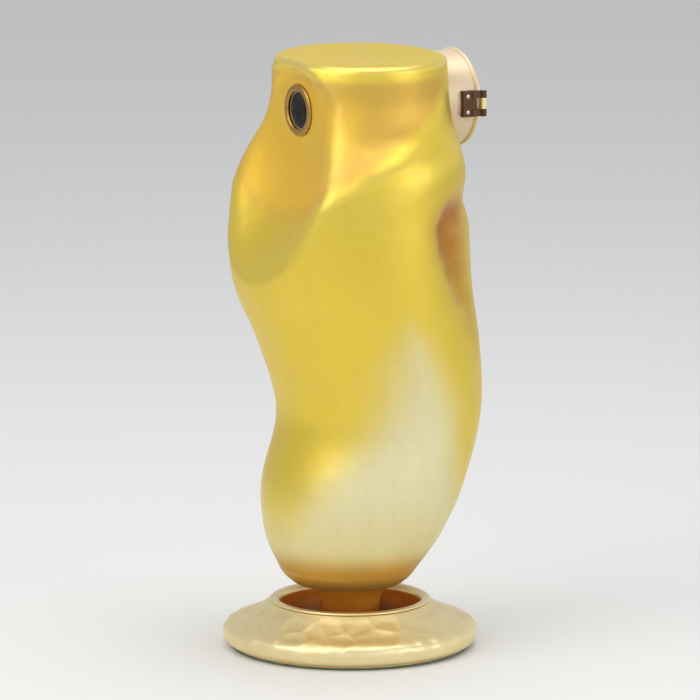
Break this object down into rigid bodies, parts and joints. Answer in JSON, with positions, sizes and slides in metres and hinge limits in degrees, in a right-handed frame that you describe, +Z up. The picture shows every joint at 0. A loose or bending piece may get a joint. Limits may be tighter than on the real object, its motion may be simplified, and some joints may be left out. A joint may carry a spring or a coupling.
{
  "type": "monstrance",
  "caption": "Free-form gilt monstrance: round hammered foot, hollow leaning body with a front window and a rear port, and a removable luna on a sliding carriage inside.",
  "frame": {"origin": "centre of the foot's underside, on the felt pad's flat face", "axes": "+Z up; -Y is the front, where the window is; +X is to the viewer's right"},
  "size_m": [0.335, 0.3485, 0.786],
  "materials": {
    "rich_gold": "satin-polished rich yellow gilding with fine planishing",
    "pale_gold": "hammered pale champagne gilding",
    "ember_lacquer": "burnt-orange to dark red-brown lacquer over metal",
    "cream_satin": "pale cream satin enamel",
    "bare_brass": "turned bare brass",
    "dark_bronze": "dark patinated bronze",
    "bright_steel": "bright machined steel",
    "ballast_iron": "black cast iron",
    "silver_gilt": "bright silver-gilt",
    "crystal": "clear polished crystal",
    "green_felt": "dense dark green felt"
  },
  "bodies": {
    "body": {"lower_body": "rich_gold", "upper_body": "rich_gold", "window_bezel": "rich_gold", "foot_ring": "pale_gold", "foot_well": "ember_lacquer", "stem": "ember_lacquer", "port_neck": "cream_satin", "base_plate": "bare_brass", "bridge_plate": "bare_brass", "joint_ring": "bare_brass", "glass_retainer": "bare_brass", "window_ring_nut": "bare_brass", "front_bracket": "bare_brass", "rear_bracket": "bare_brass", "neck_hinge_leaf": "dark_bronze", "base_screw_1": "bright_steel", "base_screw_2": "bright_steel", "base_screw_3": "bright_steel", "base_screw_4": "bright_steel", "tie_rod": "bright_steel", "tie_nut": "bright_steel", "tie_washer": "bright_steel", "top_nut": "bright_steel", "top_washer": "bright_steel", "guide_rod_left": "bright_steel", "guide_rod_right": "bright_steel", "hinge_pin": "bright_steel", "catch_magnet": "bright_steel", "ballast_ring": "ballast_iron", "window_glass": "crystal", "felt_pad": "green_felt"},
    "carriage": {"carriage": "bare_brass"},
    "luna": {"luna_case": "silver_gilt", "luna_front_glass": "crystal", "lunette_clip": "silver_gilt", "luna_hinge_pin": "bright_steel"},
    "luna_door": {"luna_door_ring": "silver_gilt", "luna_rear_glass": "crystal"},
    "rear_door": {"rear_door": "pale_gold", "catch_plate": "bright_steel", "door_liner": "cream_satin", "door_knob": "pale_gold"}
  },
  "joints": [
    {"name": "rear_door_hinge", "type": "hinge", "parent": "body", "child": "rear_door", "pos_m": [0.069, 0.1618, 0.72], "axis": [0, 0, -1], "range_deg": [0, 120]},
    {"name": "carriage_slide", "type": "slide", "parent": "body", "child": "carriage", "axis": [0, 1, 0], "range_m": [0, 0.055]},
    {"name": "luna_lift", "type": "slide", "parent": "carriage", "child": "luna", "axis": [0, 0, 1], "range_m": [0, 0.024]},
    {"name": "luna_door_hinge", "type": "hinge", "parent": "luna", "child": "luna_door", "pos_m": [0.0369, -0.03735, 0.72], "axis": [0, 0, -1], "range_deg": [0, 85]}
  ]
}
